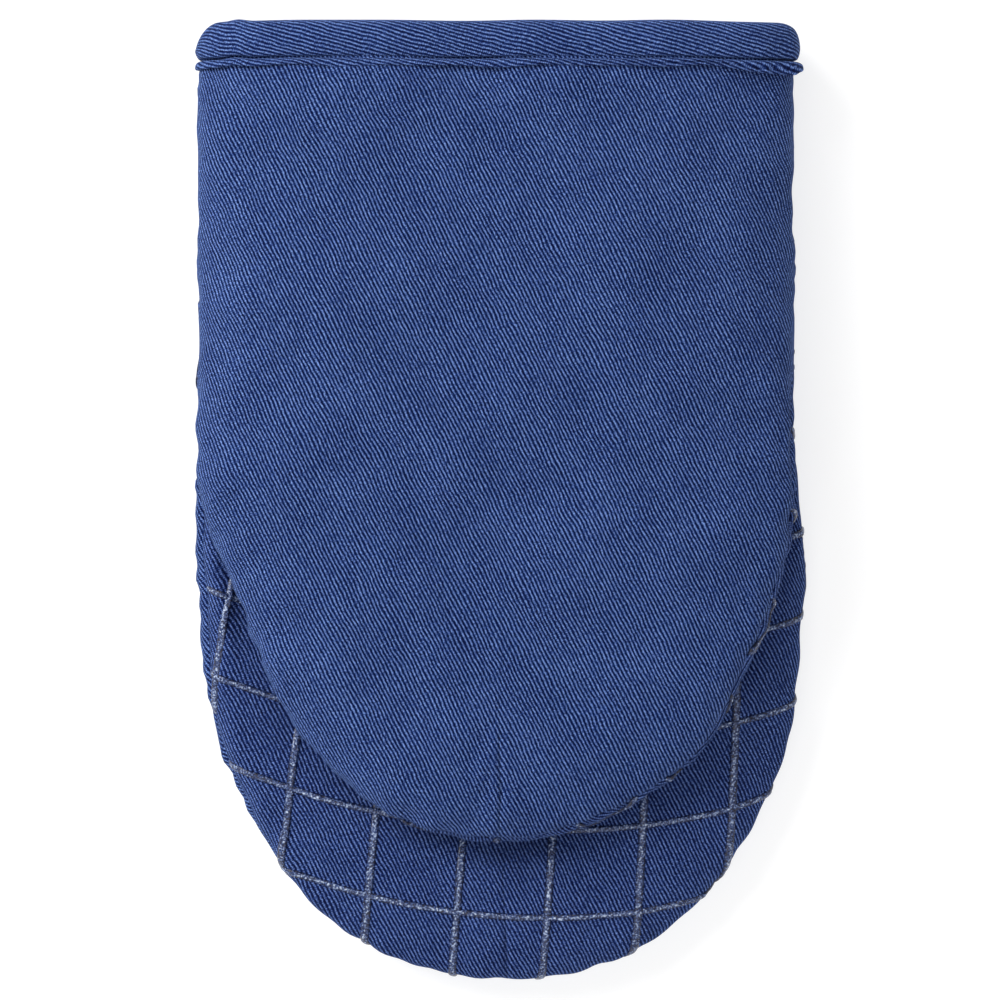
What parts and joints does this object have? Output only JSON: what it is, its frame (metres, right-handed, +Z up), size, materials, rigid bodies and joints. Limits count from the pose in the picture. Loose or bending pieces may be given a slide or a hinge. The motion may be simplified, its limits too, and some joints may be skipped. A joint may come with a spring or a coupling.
{
  "type": "oven mitt",
  "caption": "Padded mini oven mitt with a finger half and a shorter thumb half that part like a mouth, a silicone grip grid and a bound cuff.",
  "frame": {"origin": "middle of the mitt's box at table height, with the mitt lying on its back panel", "axes": "+Y from the fingertips towards the cuff, +Z up from the back panel through the thumb half, +X to the right seen from above"},
  "size_m": [0.136, 0.217, 0.0332],
  "materials": {
    "twill": "blue chambray cotton twill, 3/1 weave",
    "batting": "needled cotton and polyester wadding",
    "lining": "plain-woven cotton lining",
    "binding": "bias strip of the same twill",
    "thread": "twisted polyester sewing thread",
    "silicone": "printed silicone, translucent and slightly glossy"
  },
  "bodies": {
    "sleeve_and_finger_half": {"back_shell": "twill", "back_batting": "batting", "back_lining": "lining", "finger_grip_shell": "twill", "finger_grip_batting": "batting", "finger_grip_lining": "lining", "cuff_front_shell": "twill", "cuff_front_batting": "batting", "cuff_front_lining": "lining", "thumb_crease_shell": "twill", "thumb_crease_batting": "batting", "thumb_crease_lining": "lining", "crotch_fold_shell": "twill", "crotch_fold_batting": "batting", "crotch_fold_lining": "lining", "finger_silicone_grid": "silicone", "cuff_binding": "binding", "binding_thread": "thread", "finger_seam_thread": "thread", "side_seam_threads": "thread"},
    "thumb_half": {"thumb_shell": "twill", "thumb_batting": "batting", "thumb_lining": "lining", "thumb_grip_shell": "twill", "thumb_grip_batting": "batting", "thumb_grip_lining": "lining", "thumb_silicone_grid": "silicone", "thumb_seam_thread": "thread"}
  },
  "joints": [
    {"name": "mouth_opening", "type": "hinge", "parent": "sleeve_and_finger_half", "child": "thumb_half", "pos_m": [0, 0.044, 0.0166], "axis": [-1, 0, 0], "range_deg": [0, 75], "deforming": ["thumb_crease_shell", "thumb_crease_batting", "thumb_crease_lining", "crotch_fold_shell", "crotch_fold_batting", "crotch_fold_lining"]}
  ]
}
